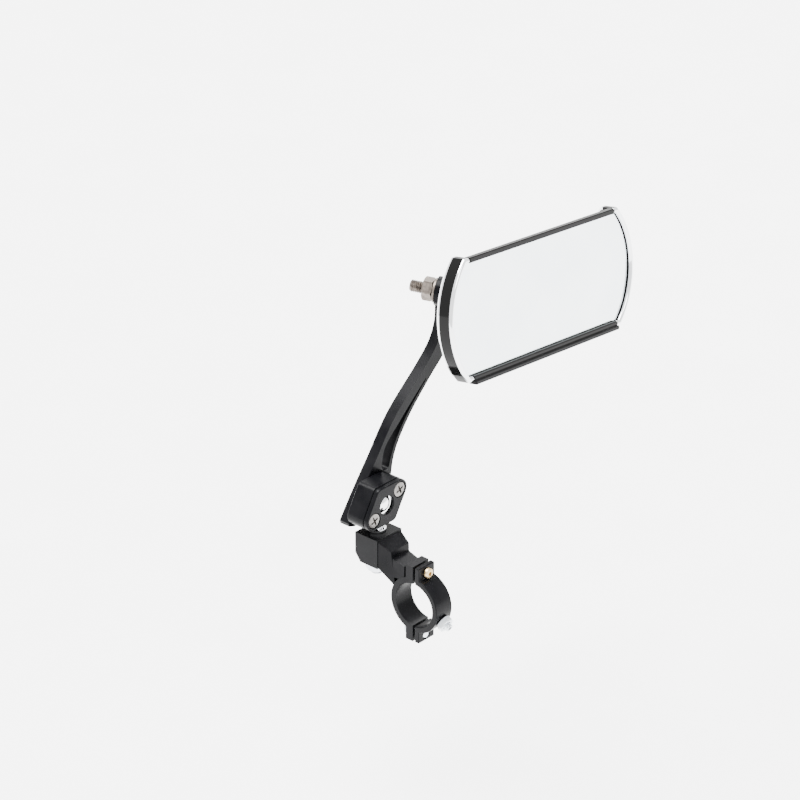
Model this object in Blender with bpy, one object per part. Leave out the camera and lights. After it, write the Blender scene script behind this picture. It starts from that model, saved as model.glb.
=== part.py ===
"""Handlebar mirror for the right end of a bicycle's bar, as an assembly of separate pieces.

World axes: X along the handlebar and outboard, Y forward, Z up. The origin is the centre of the
clamp's bore. Sizes are in millimetres and add_node turns them into metres.
"""

import bpy
import bmesh
from math import atan2, cos, pi, radians, sin, sqrt, tan
from mathutils import Matrix, Vector

MM = 0.001
GAP = 0.3                        # air between neighbouring pieces
STEPS = 20                       # sides of a small round piece

# Clamp on the handlebar
BAR_RADIUS = 11.1
BORE_RADIUS = BAR_RADIUS + 0.15
RING_RADIUS = 14.2
RING_HALF_WIDTH = 5.5
SPLIT = 0.6                      # half of the slit between the two halves of the ring
EAR_TOP = 20.2
EAR_LOW = -19.8
FRONT_EAR = 4.4                  # depth of the ears in front of the slit
STRAP_EAR = 2.6                  # and behind it
SCREW_HEIGHT = 16.6
BOLT_HEIGHT = -17.0
SET_SCREW_TURN = radians(204)    # around the bar, from forward through up

# Post of the base and lower ball joint
BALL_CENTRE = (0.0, 28.0, 43.0)
LOWER_BALL = 6.0
POST_HALF_WIDTH = 8.5
POST_FRONT = 34.2
POST_BACK = 20.2
POST_TOP = 27.8
POST_BOTTOM = 12.8
SHANK = 3.0                      # radius of both M6 studs
SHANK_HOLE = SHANK + GAP

# Ball housing, cover plate and arm, as depths from the ball's centre along Y
PLATE_FRONT = -6.5
PLATE_BACK = -4.1
HOUSING_BACK = 6.2
ARM_FRONT = 6.6
ARM_BACK = 12.2
PLATE_SCREW_REACH = 10.0
PLATE_TURN = radians(29.3)       # the line through the plate's screws above the horizontal
SLOT_START = radians(-121)       # the neck's slot in the housing
SLOT_END = radians(-14)

# Mirror stud: it leaves the mirror's ball forward, inboard and slightly up
MIRROR_BALL_CENTRE = (64.1, 23.9, 126.4)
STUD_INBOARD = radians(26.9)
STUD_RISE = radians(5.2)
MIRROR_BALL = 7.0
LUG_START = 11.5
LUG_THICKNESS = 7.0
LUG_RADIUS = 7.0

# Mirror head, with the lens surface at height 0 of its own frame
HEAD_YAW = radians(4.1)
HEAD_PITCH = radians(8.9)
HEAD_ROLL = radians(-7.1)
SOCKET_OFFSET = (19.2, 1.3, 25.0)  # from the ball's centre to the middle of the lens
HEAD_HALF_STRAIGHT = 60.0
HEAD_HALF_HEIGHT = 29.0
HEAD_END_BULGE = 12.0
HEAD_BACK = -8.0
HEAD_LIP = 2.0
LIP_WIDTH = 2.6
WALL = 1.4                       # of the caps and rails
LENS_INSET = WALL + GAP
LENS_THICKNESS = 1.3
TRAY_INSET = 4.8
TRAY_WALL = 1.2
RAIL_HALF_LENGTH = 57.0
SEAT_INNER = MIRROR_BALL + GAP
SEAT_OUTER = 8.6
CUP_BORE = SEAT_OUTER + GAP
CUP_RADIUS = 13.0
CAP_THICKNESS = 4.6
CAP_OPENING = radians(60)
SOCKET_SCREW_REACH = 10.9

PLANES = {
    "XY": lambda u, v, w: (u, v, w),
    "XZ": lambda u, v, w: (u, w, v),
    "YZ": lambda u, v, w: (w, u, v),
}


# ---------------------------------------------------------------- modelling helpers

def clear_scene():
    for item in list(bpy.data.objects):
        bpy.data.objects.remove(item, do_unlink=True)


def make_material(name, color, roughness, metallic):
    material = bpy.data.materials.new(name)
    material.use_nodes = True
    shader = material.node_tree.nodes["Principled BSDF"]
    shader.inputs["Base Color"].default_value = (*color, 1.0)
    shader.inputs["Roughness"].default_value = roughness
    shader.inputs["Metallic"].default_value = metallic
    material.diffuse_color = (*color, 1.0)
    return material


def arc(centre, radius, start, end, steps):
    """Points on a circle, from one angle to the other, both included."""
    points = []
    for step in range(steps + 1):
        angle = start + (end - start) * step / steps
        points.append((centre[0] + radius * cos(angle), centre[1] + radius * sin(angle)))
    return points


def add_prism(bm, outline, low, high, plane="XY"):
    """A closed outline of one plane, extruded from low to high across that plane."""
    spot = PLANES[plane]
    bottom = [bm.verts.new(spot(u, v, low)) for u, v in outline]
    top = [bm.verts.new(spot(u, v, high)) for u, v in outline]
    bm.faces.new(bottom)
    bm.faces.new(top)
    for index in range(len(outline)):
        bm.faces.new((bottom[index], bottom[index - 1], top[index - 1], top[index]))


def add_lathe(bm, profile, steps=STEPS, closed=False, centre=(0.0, 0.0), plane="XY"):
    """A profile of (radius, height) points turned around an axis across the given plane."""
    spot = PLANES[plane]
    rings = []
    for radius, height in profile:
        if radius == 0:
            rings.append([bm.verts.new(spot(centre[0], centre[1], height))] * steps)
            continue
        ring = []
        for u, v in arc(centre, radius, 0, 2 * pi * (steps - 1) / steps, steps - 1):
            ring.append(bm.verts.new(spot(u, v, height)))
        rings.append(ring)
    nexts = rings[1:] + rings[:1] if closed else rings[1:]
    for lower, upper in zip(rings, nexts):
        for index in range(steps):
            corners = (lower[index - 1], lower[index], upper[index], upper[index - 1])
            corners = list(dict.fromkeys(corners))
            if len(corners) > 2:
                bm.faces.new(corners)


def add_cylinder(bm, radius, low, high, steps=STEPS, centre=(0.0, 0.0), plane="XY"):
    profile = [(0, low), (radius, low), (radius, high), (0, high)]
    add_lathe(bm, profile, steps, centre=centre, plane=plane)


def add_hull(bm, points):
    """The convex solid around the points."""
    corners = [bm.verts.new(point) for point in points]
    bmesh.ops.convex_hull(bm, input=corners)


def add_node(name, bm, pivot, material, offset=(0, 0, 0), smooth=True):
    """Turn a mesh in millimetres into a named object that hangs on its pivot."""
    bmesh.ops.recalc_face_normals(bm, faces=bm.faces)
    bmesh.ops.scale(bm, vec=(MM, MM, MM), verts=bm.verts)
    mesh = bpy.data.meshes.new(name)
    bm.to_mesh(mesh)
    bm.free()
    if smooth:
        mesh.shade_smooth()
        mesh.set_sharp_from_angle(angle=radians(38))
    if material:
        mesh.materials.append(material)
    node = bpy.data.objects.new(name, mesh)
    node.parent = pivot
    node.location = Vector(offset) * MM
    bpy.context.collection.objects.link(node)
    return node


def combine(node, bm, operation):
    """Join a mesh to a node, or cut it out, with a Boolean modifier and a hidden tool object."""
    tool = add_node(f"{node.name}_{operation.lower()}_{len(node.modifiers)}", bm,
                    node.parent, None, Vector(node.location) / MM, smooth=False)
    tool.hide_render = True
    tool.display_type = 'WIRE'
    modifier = node.modifiers.new(tool.name, 'BOOLEAN')
    modifier.operation = operation
    modifier.solver = 'EXACT'
    modifier.object = tool


def ease_edges(node, width, angle=32):
    """A small bevel along the sharp edges."""
    modifier = node.modifiers.new("Edges", 'BEVEL')
    modifier.width = width * MM
    modifier.segments = 1
    modifier.limit_method = 'ANGLE'
    modifier.angle_limit = radians(angle)
    modifier.use_clamp_overlap = True


def add_pivot(name, centre, x_axis, z_axis):
    pivot = bpy.data.objects.new(name, None)
    x_axis = Vector(x_axis).normalized()
    z_axis = Vector(z_axis).normalized()
    y_axis = z_axis.cross(x_axis)
    turn = Matrix((x_axis, y_axis, z_axis)).transposed().to_4x4()
    pivot.matrix_world = Matrix.Translation(Vector(centre) * MM) @ turn
    bpy.context.collection.objects.link(pivot)
    return pivot


def smooth_line(points, steps):
    """A Catmull-Rom curve through the points."""
    line = []
    padded = [points[0]] + points + [points[-1]]
    for before, start, end, after in zip(padded, padded[1:], padded[2:], padded[3:]):
        for step in range(steps):
            t = step / steps
            spot = []
            for a, b, c, d in zip(before, start, end, after):
                bend = (2 * a - 5 * b + 4 * c - d) * t * t + (3 * b - a - 3 * c + d) * t ** 3
                spot.append(0.5 * (2 * b + (c - a) * t + bend))
            line.append(tuple(spot))
    line.append(points[-1])
    return line


def ring_half(side, ear_depth):
    """Outline of one half of the clamp ring with its two ears; side is +1 front, -1 back."""
    ear = SPLIT + ear_depth
    top = atan2(sqrt(RING_RADIUS ** 2 - ear ** 2), ear)
    inner = atan2(sqrt(BORE_RADIUS ** 2 - SPLIT ** 2), SPLIT)
    outline = [(SPLIT, EAR_TOP), (ear, EAR_TOP)]
    outline += arc((0, 0), RING_RADIUS, top, -top, 14)
    outline += [(ear, EAR_LOW), (SPLIT, EAR_LOW)]
    outline += arc((0, 0), BORE_RADIUS, -inner, inner, 14)
    return [(side * y, z) for y, z in outline]


def base_block(pivot, material):
    bm = bmesh.new()
    add_prism(bm, ring_half(1, FRONT_EAR), -RING_HALF_WIDTH, RING_HALF_WIDTH, "YZ")
    node = add_node("base_block", bm, pivot, material)

    web = bmesh.new()
    wide, narrow = POST_HALF_WIDTH - 0.3, RING_HALF_WIDTH - 0.3
    corners = []
    for side in (-1, 1):
        corners += [(side * wide, POST_BACK + 0.8, POST_BOTTOM + 1.2)]
        corners += [(side * wide, POST_BACK + 0.8, POST_TOP - 0.5)]
        corners += [(side * 6.3, 13.5, 23.5), (side * narrow, 12.0, 5.5)]
    add_hull(web, corners)
    combine(node, web, 'UNION')

    step = bmesh.new()
    corners = []
    for side in (-1, 1):
        corners += [(side * 6.0, 16.0, 20.5), (side * 6.0, 16.0, 10.0)]
        corners += [(side * 5.2, 6.2, 18.2), (side * 5.2, 6.2, 11.0)]
    add_hull(step, corners)
    combine(node, step, 'UNION')

    post = bmesh.new()
    outline = [(POST_BACK, POST_TOP), (POST_FRONT, POST_TOP), (POST_FRONT, POST_BOTTOM + 4.2)]
    outline += [(POST_FRONT - 3.2, POST_BOTTOM), (POST_BACK, POST_BOTTOM)]
    add_prism(post, outline, -POST_HALF_WIDTH, POST_HALF_WIDTH, "YZ")
    combine(node, post, 'UNION')
    ease_edges(node, 0.45)

    holes = bmesh.new()
    add_cylinder(holes, SHANK_HOLE, 5, 32, centre=BALL_CENTRE[:2])
    add_cylinder(holes, 1.8, -3, 9.5, 16, centre=(0, SCREW_HEIGHT), plane="XZ")
    add_cylinder(holes, 2.3, -3, 9.5, 16, centre=(0, BOLT_HEIGHT), plane="XZ")
    combine(node, holes, 'DIFFERENCE')


def lay_set_screw(bm):
    """Turn a mesh made along Z so that it points out of the ring at the set screw's place."""
    turn = Matrix.Rotation(SET_SCREW_TURN - pi / 2, 4, 'X')
    bmesh.ops.transform(bm, matrix=turn, verts=bm.verts)


def clamp_strap(pivot, material):
    bm = bmesh.new()
    add_prism(bm, ring_half(-1, STRAP_EAR), -RING_HALF_WIDTH, RING_HALF_WIDTH, "YZ")
    node = add_node("clamp_strap", bm, pivot, material)
    ease_edges(node, 0.4)
    grooves = bmesh.new()
    for depth in (1.3, 2.0, 2.7):
        outline = [(-depth - 0.3, EAR_TOP + 0.3), (-depth + 0.3, EAR_TOP + 0.3), (-depth, EAR_TOP - 0.3)]
        add_prism(grooves, outline, -8, 8, "YZ")
    combine(node, grooves, 'DIFFERENCE')
    holes = bmesh.new()
    add_cylinder(holes, 1.8, -7, 3, 16, centre=(0, SCREW_HEIGHT), plane="XZ")
    add_cylinder(holes, 2.3, -7, 3, 16, centre=(0, BOLT_HEIGHT), plane="XZ")
    combine(node, holes, 'DIFFERENCE')
    radial = bmesh.new()
    add_cylinder(radial, 2.3, 9, 17, 16)
    lay_set_screw(radial)
    combine(node, radial, 'DIFFERENCE')


def clamp_screw_top(pivot, material):
    back = -(SPLIT + STRAP_EAR) - GAP
    profile = [(0, 8.8), (1.5, 8.8), (1.5, back), (2.5, back), (2.5, back - 1.1), (1.9, back - 1.8)]
    profile += [(1.1, back - 1.8), (1.1, back - 0.8), (0, back - 0.8)]
    bm = bmesh.new()
    add_lathe(bm, profile, 16, centre=(0, SCREW_HEIGHT), plane="XZ")
    add_node("clamp_screw_top", bm, pivot, material)


def clamp_bolt_lower(pivot, material):
    front = SPLIT + FRONT_EAR + GAP
    tip = -(SPLIT + STRAP_EAR) + 0.2
    profile = [(0, front + 3), (3.0, front + 3), (3.2, front + 2.7), (3.2, front)]
    profile += [(2.0, front), (2.0, tip + 0.4), (1.6, tip), (0, tip)]
    bm = bmesh.new()
    add_lathe(bm, profile, 16, centre=(0, BOLT_HEIGHT), plane="XZ")
    add_node("clamp_bolt_lower", bm, pivot, material)


def add_nut(bm, across_flats, hole, low, high, plane="XY", centre=(0.0, 0.0)):
    """A chamfered hexagon with a round hole."""
    spot = PLANES[plane]
    corner = across_flats / sqrt(3)
    rings = []
    for radius, height in ((hole, low), (corner * 0.88, low), (corner, low + 0.6),
                           (corner, high - 0.6), (corner * 0.88, high), (hole, high)):
        ring = []
        for u, v in arc(centre, radius, 0, 2 * pi * 11 / 12, 11):
            ring.append(Vector((u, v)))
        if radius != hole:
            for index in range(1, 12, 2):
                ring[index] = (ring[index - 1] + ring[(index + 1) % 12]) / 2
        rings.append([bm.verts.new(spot(point.x, point.y, height)) for point in ring])
    for lower, upper in zip(rings, rings[1:] + rings[:1]):
        for index in range(12):
            bm.faces.new((lower[index - 1], lower[index], upper[index], upper[index - 1]))


def set_screw(pivot, material):
    """Heights are from the bar's axis."""
    low = BORE_RADIUS + 0.3
    profile = [(0, low), (1.6, low), (2.0, low + 0.4), (2.0, 19.0), (1.7, 19.4), (0, 19.4)]
    bm = bmesh.new()
    add_lathe(bm, profile, 16)
    lay_set_screw(bm)
    add_node("set_screw", bm, pivot, material)


def set_nut(pivot, material):
    bm = bmesh.new()
    add_nut(bm, 7.0, 2.3, RING_RADIUS + GAP, RING_RADIUS + GAP + 3.0)
    lay_set_screw(bm)
    add_node("set_nut", bm, pivot, material)


def stud_nut_lower(pivot, material):
    bm = bmesh.new()
    top = POST_BOTTOM - GAP
    add_nut(bm, 10.0, SHANK_HOLE, top - 5.0, top, centre=BALL_CENTRE[:2])
    add_node("stud_nut_lower", bm, pivot, material)


# ---------------------------------------------------------------- lower ball joint and arm

def lower_ball_stud(pivot, material):
    """Heights are from the ball's centre."""
    neck = 2.7
    top = POST_TOP + GAP - BALL_CENTRE[2]
    profile = [(0, LOWER_BALL)]
    for x, z in arc((0, 0), LOWER_BALL, radians(67.5), radians(-63.3), 7):
        profile.append((x, z))
    profile += [(neck, -8.0), (neck, top + 1.2), (4.4, top + 1.2), (4.4, top), (SHANK, top)]
    profile += [(SHANK, -37.4), (SHANK - 0.6, -38.0), (0, -38.0)]
    bm = bmesh.new()
    add_lathe(bm, profile, 20)
    add_node("lower_ball_stud", bm, pivot, material)


def plate_outline(steps=5):
    """A slanted block whose long corners are ears about the screws."""
    upper, lower = screw_centres().values()
    slant = atan2(-0.511, 0.859)
    outline = arc(upper, 5.1, slant, pi / 2, steps)
    outline += arc((-4.1, 7.0), 3.0, pi / 2, slant + pi, steps)
    outline += arc(lower, 5.1, slant + pi, 3 * pi / 2, steps)
    outline += arc((4.1, -7.0), 3.0, 3 * pi / 2, slant + 2 * pi, steps)
    return outline


def screw_centres():
    along = Vector((cos(PLATE_TURN), sin(PLATE_TURN)))
    return {"upper": along * PLATE_SCREW_REACH, "lower": -along * PLATE_SCREW_REACH}


def ball_housing(pivot, material):
    bm = bmesh.new()
    add_prism(bm, plate_outline(), PLATE_BACK + GAP, HOUSING_BACK, "XZ")
    node = add_node("ball_housing", bm, pivot, material)
    ease_edges(node, 0.35)
    ball = bmesh.new()
    add_cylinder(ball, LOWER_BALL + GAP, -9, 9, 24, plane="XZ")
    combine(node, ball, 'DIFFERENCE')
    slot = bmesh.new()
    half = 3.1
    outline = []
    first = Vector((cos(SLOT_START), sin(SLOT_START)))
    last = Vector((cos(SLOT_END), sin(SLOT_END)))
    outline += [(0, 0)]
    outline += [tuple(Vector((first.y, -first.x)) * half + first * 3)]
    outline += [tuple(Vector((first.y, -first.x)) * half + first * 20)]
    outline += arc((0, 0), 20.3, SLOT_START, SLOT_END, 6)
    outline += [tuple(Vector((-last.y, last.x)) * half + last * 20)]
    outline += [tuple(Vector((-last.y, last.x)) * half + last * 3)]
    add_prism(slot, outline, -9, half, "XZ")
    combine(node, slot, 'DIFFERENCE')
    holes = bmesh.new()
    for centre in screw_centres().values():
        add_cylinder(holes, 2.3, -9, 9, 16, centre=centre, plane="XZ")
    combine(node, holes, 'DIFFERENCE')


def cover_plate(pivot, material):
    bm = bmesh.new()
    add_prism(bm, plate_outline(), PLATE_FRONT, PLATE_BACK, "XZ")
    node = add_node("cover_plate", bm, pivot, material)
    ease_edges(node, 0.4)
    window = bmesh.new()
    profile = [(0, PLATE_FRONT - 1), (4.5, PLATE_FRONT - 1), (4.5, -5.4), (5.3, -3), (0, -3)]
    add_lathe(window, profile, 24, plane="XZ")
    combine(node, window, 'DIFFERENCE')
    for centre in screw_centres().values():
        sink = bmesh.new()
        profile = [(0, -8), (4.1, -8), (4.1, -6.2), (2.3, -4.7), (2.3, -2), (0, -2)]
        add_lathe(sink, profile, 16, centre=centre, plane="XZ")
        combine(node, sink, 'DIFFERENCE')


def plate_screw(name, centre, tip, pivot, material):
    bm = bmesh.new()
    profile = [(0, -6.4), (3.0, -6.4), (3.6, -6.1), (1.95, -4.4), (1.95, tip), (0, tip)]
    add_lathe(bm, profile, 16, centre=centre, plane="XZ")
    node = add_node(name, bm, pivot, material)
    cross = bmesh.new()
    arms = []
    for quarter in range(4):
        turn = Matrix.Rotation(quarter * pi / 2, 2)
        arms += [Vector(centre) + turn @ Vector((2.1, -0.45)), Vector(centre) + turn @ Vector((2.1, 0.45))]
        arms += [Vector(centre) + turn @ Vector((0.45, 0.45))]
    add_prism(cross, arms, -7.5, -5.4, "XZ")
    combine(node, cross, 'DIFFERENCE')


def arm_outline():
    inboard = [(-12.5, -9.5), (-7.0, -1.5), (0.0, 8.0), (6.6, 16.5), (20.3, 34.5), (39.3, 51.1)]
    inboard += [(47.2, 58.6), (51.2, 64.2), (53.6, 71.0), (54.0, 78.0)]
    outboard = [(62.3, 78.0), (62.0, 70.0), (59.5, 61.5), (53.0, 53.5), (43.5, 45.0), (31.5, 33.0)]
    outboard += [(22.8, 21.5), (18.8, 13.0), (16.8, 4.0), (12.9, -6.4)]
    foot = [(4.0, -12.5), (-8.5, -12.5), (-12.0, -11.3)]
    return smooth_line(inboard, 2) + smooth_line(outboard, 2) + foot


def arm_window():
    upper = [(10.6, 11.5), (13.2, 21.0), (23.5, 30.8), (33.0, 39.2), (42.0, 46.8)]
    lower = [(41.4, 45.4), (30.0, 34.2), (21.2, 22.7), (16.9, 13.7), (15.2, 9.4), (11.8, 8.8)]
    return smooth_line(upper, 3) + smooth_line(lower, 2)


def lug_frame(stud_pivot):
    """Places a mesh of the stud's frame in the arm's frame, in millimetres."""
    away = Vector(MIRROR_BALL_CENTRE) - Vector(BALL_CENTRE)
    return Matrix.Translation(away) @ stud_pivot.matrix_world.to_3x3().to_4x4()


def arm(pivot, stud_pivot, material):
    bm = bmesh.new()
    add_prism(bm, arm_outline(), ARM_FRONT, ARM_BACK, "XZ")
    node = add_node("arm", bm, pivot, material)
    window = bmesh.new()
    add_prism(window, arm_window(), ARM_FRONT - 2, ARM_BACK + 2, "XZ")
    combine(node, window, 'DIFFERENCE')
    lug = bmesh.new()
    add_cylinder(lug, LUG_RADIUS, LUG_START, LUG_START + LUG_THICKNESS, 24)
    bmesh.ops.transform(lug, matrix=lug_frame(stud_pivot), verts=lug.verts)
    combine(node, lug, 'UNION')
    ease_edges(node, 0.6)
    bore = bmesh.new()
    add_cylinder(bore, SHANK_HOLE, LUG_START - 4, LUG_START + LUG_THICKNESS + 4)
    bmesh.ops.transform(bore, matrix=lug_frame(stud_pivot), verts=bore.verts)
    combine(node, bore, 'DIFFERENCE')
    hole = bmesh.new()
    centre = screw_centres()["upper"]
    add_cylinder(hole, 2.3, ARM_FRONT - 3, ARM_BACK + 3, 16, centre=centre, plane="XZ")
    combine(node, hole, 'DIFFERENCE')


# ---------------------------------------------------------------- mirror stud

def mirror_ball_stud(pivot, material):
    """Heights run along the stud from the ball's centre."""
    neck = 2.5
    profile = [(0, -MIRROR_BALL)]
    for height, radius in arc((0, 0), MIRROR_BALL, radians(157.5), radians(20.9), 8):
        profile.append((radius, height))
    flange = LUG_START - GAP
    profile += [(neck, flange - 1.0), (5.0, flange - 1.0), (5.0, flange), (SHANK, flange)]
    profile += [(SHANK, 30.8), (SHANK - 0.7, 31.5), (0, 31.5)]
    bm = bmesh.new()
    add_lathe(bm, profile, 20)
    add_node("mirror_ball_stud", bm, pivot, material)


def upper_washer(pivot, material):
    start = LUG_START + LUG_THICKNESS + GAP
    bm = bmesh.new()
    profile = [(SHANK_HOLE, start), (5.9, start), (5.9, start + 1.0), (SHANK_HOLE, start + 1.0)]
    add_lathe(bm, profile, 24, closed=True)
    add_node("stud_washer_upper", bm, pivot, material)


def upper_nut(pivot, material):
    start = LUG_START + LUG_THICKNESS + 1.0 + 2 * GAP
    bm = bmesh.new()
    add_nut(bm, 10.0, SHANK_HOLE, start, start + 5.0)
    add_node("stud_nut_upper", bm, pivot, material)


# ---------------------------------------------------------------- mirror head

def end_point(inset, share):
    """A point on the rounded end; share runs from -1 at the bottom corner to 1 at the top one."""
    radius = (HEAD_HALF_HEIGHT ** 2 + HEAD_END_BULGE ** 2) / (2 * HEAD_END_BULGE)
    middle = HEAD_HALF_STRAIGHT + HEAD_END_BULGE - radius
    half_height = HEAD_HALF_HEIGHT - inset
    reach = sqrt((radius - inset) ** 2 - half_height ** 2)
    angle = atan2(half_height, reach) * share
    return middle + (radius - inset) * cos(angle), (radius - inset) * sin(angle)


def head_outline(inset, steps=8):
    """The whole outline of the head, moved inwards by the inset."""
    end = [end_point(inset, 2 * step / steps - 1) for step in range(steps + 1)]
    return end + [(-x, -y) for x, y in end]


def mirror_ball_seat(pivot, material):
    """A spherical liner around the glass side of the ball."""
    reach = radians(46)
    profile = [(0, SEAT_INNER)]
    for height, radius in arc((0, 0), SEAT_INNER, reach / 4, reach, 3):
        profile.append((radius, height))
    for height, radius in arc((0, 0), SEAT_OUTER, reach, reach / 4, 3):
        profile.append((radius, height))
    profile.append((0, SEAT_OUTER))
    bm = bmesh.new()
    add_lathe(bm, profile, 20)
    add_node("mirror_ball_seat", bm, pivot, material)


def socket_cup(pivot, material):
    """Heights are from the ball's centre towards the glass."""
    top = SOCKET_OFFSET[2] + HEAD_BACK - GAP
    profile = [(0, top), (CUP_RADIUS - 1, top), (CUP_RADIUS, top - 1), (CUP_RADIUS, 0), (CUP_BORE, 0)]
    for height, radius in arc((0, 0), CUP_BORE, pi / 2, 0, 5)[1:-1]:
        profile.append((radius, height))
    profile.append((0, CUP_BORE))
    bm = bmesh.new()
    add_lathe(bm, profile, 28)
    node = add_node("socket_cup", bm, pivot, material)
    holes = bmesh.new()
    for centre in socket_screw_centres():
        add_cylinder(holes, 1.2, -2, 6.5, 10, centre=centre)
    combine(node, holes, 'DIFFERENCE')


def socket_screw_centres():
    return arc((0, 0), SOCKET_SCREW_REACH, pi / 2, pi / 2 + 4 * pi / 3, 2)


def socket_cap(pivot, material):
    """The ring that holds the ball in, with a cone for the stud to lean in."""
    low = -CAP_THICKNESS - GAP
    profile = []
    for height, radius in arc((0, 0), SEAT_INNER, radians(92.4), pi - CAP_OPENING, 3):
        profile.append((radius, height))
    profile += [(-(low) * tan(CAP_OPENING), low), (CUP_RADIUS - 0.8, low), (CUP_RADIUS, low + 0.8)]
    profile += [(CUP_RADIUS, -GAP)]
    bm = bmesh.new()
    add_lathe(bm, profile, 28, closed=True)
    node = add_node("socket_cap", bm, pivot, material)
    holes = bmesh.new()
    for centre in socket_screw_centres():
        profile = [(0, low - 2), (1.9, low - 2), (1.9, low + 1.6), (1.3, low + 1.6), (1.3, 2), (0, 2)]
        add_lathe(holes, profile, 12, centre=centre)
    combine(node, holes, 'DIFFERENCE')


def socket_screws(pivot, material):
    low = -CAP_THICKNESS - GAP
    for letter, centre in zip("abc", socket_screw_centres()):
        bm = bmesh.new()
        profile = [(0, low + 0.7), (0.7, low + 0.1), (1.3, low + 0.1), (1.6, low + 0.4)]
        profile += [(1.6, low + 1.3), (0.9, low + 1.3), (0.9, 6.0), (0, 6.0)]
        add_lathe(bm, profile, 10, centre=centre)
        add_node(f"socket_screw_{letter}", bm, pivot, material)


def head_shell(pivot, material):
    """A tray with a flange all round its mouth, which carries the lens."""
    inner = TRAY_INSET + TRAY_WALL
    floor = HEAD_BACK + 1.6
    rim = -LENS_THICKNESS - GAP
    section = [(TRAY_INSET + 2.0, HEAD_BACK), (TRAY_INSET, HEAD_BACK + 1.8), (TRAY_INSET, rim - 1.2)]
    section += [(LENS_INSET, rim - 1.2), (LENS_INSET, rim), (inner, rim), (inner, floor)]
    rings = []
    bm = bmesh.new()
    for inset, height in section:
        rings.append([bm.verts.new((x, y, height)) for x, y in head_outline(inset)])
    for lower, upper in zip(rings, rings[1:]):
        for index in range(len(lower)):
            bm.faces.new((lower[index - 1], lower[index], upper[index], upper[index - 1]))
    bm.faces.new(rings[0])
    bm.faces.new(rings[-1])
    add_node("head_shell", bm, pivot, material, SOCKET_OFFSET)


def lens_backing(pivot, material):
    bm = bmesh.new()
    add_prism(bm, head_outline(TRAY_INSET + TRAY_WALL + GAP), HEAD_BACK + 1.9, -LENS_THICKNESS - GAP)
    add_node("lens_backing", bm, pivot, material, SOCKET_OFFSET)


def lens(pivot, material):
    bm = bmesh.new()
    add_prism(bm, head_outline(LENS_INSET), -LENS_THICKNESS, 0.0)
    add_node("lens", bm, pivot, material, SOCKET_OFFSET)


def head_rail(name, side, pivot, material):
    """An L section over the edge of the lens; the lower rail has a bead that stands proud."""
    top, low = HEAD_HALF_HEIGHT, -1.2
    lip = top - LIP_WIDTH
    outline = [(top, low), (top, HEAD_LIP - 0.5), (top - 0.5, HEAD_LIP)]
    if side < 0:
        outline = [(top + 1.4, low), (top + 1.4, 2.8), (top + 1.0, 3.2), (top - 0.2, 3.2)]
        outline += [(top - 0.6, 2.8), (top - 0.6, HEAD_LIP)]
    outline += [(lip + 0.3, HEAD_LIP), (lip, HEAD_LIP - 0.3), (lip, 0.3), (top - WALL, 0.3)]
    outline += [(top - WALL, low)]
    outline = [(side * y, z) for y, z in outline]
    bm = bmesh.new()
    add_prism(bm, outline, -RAIL_HALF_LENGTH + GAP, RAIL_HALF_LENGTH - GAP, "YZ")
    add_node(name, bm, pivot, material, SOCKET_OFFSET)


def end_cap(name, side, pivot, material):
    """A curved channel: an L section that follows the rounded end of the head."""
    section = [(0.0, HEAD_BACK + 2.2), (0.0, HEAD_LIP - 1.1), (0.8, HEAD_LIP - 0.1)]
    section += [(LIP_WIDTH - 0.8, HEAD_LIP - 0.1), (LIP_WIDTH, HEAD_LIP - 1.1), (LIP_WIDTH, 0.3)]
    section += [(WALL, 0.3), (WALL, HEAD_BACK + 2.0), (WALL + 1.8, HEAD_BACK + 0.2)]
    section += [(WALL + 1.8, HEAD_BACK), (2.2, HEAD_BACK)]
    bm = bmesh.new()
    stations = []
    shares = [2 * step / 8 - 1 for step in range(9)]
    for inset, height in section:
        line = [(RAIL_HALF_LENGTH, -(HEAD_HALF_HEIGHT - inset))]
        line += [end_point(inset, share) for share in shares]
        line += [(RAIL_HALF_LENGTH, HEAD_HALF_HEIGHT - inset)]
        stations.append([bm.verts.new((side * x, y, height)) for x, y in line])
    for first, second in zip(stations, stations[1:] + stations[:1]):
        for index in range(len(first) - 1):
            bm.faces.new((first[index], first[index + 1], second[index + 1], second[index]))
    bm.faces.new([line[0] for line in stations])
    bm.faces.new([line[-1] for line in stations])
    add_node(name, bm, pivot, material, SOCKET_OFFSET)


# ---------------------------------------------------------------- assembly

def head_axes():
    """The head's long axis and the way its lens faces."""
    facing = Vector((sin(HEAD_YAW) * cos(HEAD_PITCH), -cos(HEAD_YAW) * cos(HEAD_PITCH), sin(HEAD_PITCH)))
    level = Vector((cos(HEAD_YAW), sin(HEAD_YAW), 0))
    long_axis = Matrix.Rotation(-HEAD_ROLL, 3, -facing) @ level
    return long_axis, facing


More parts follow.
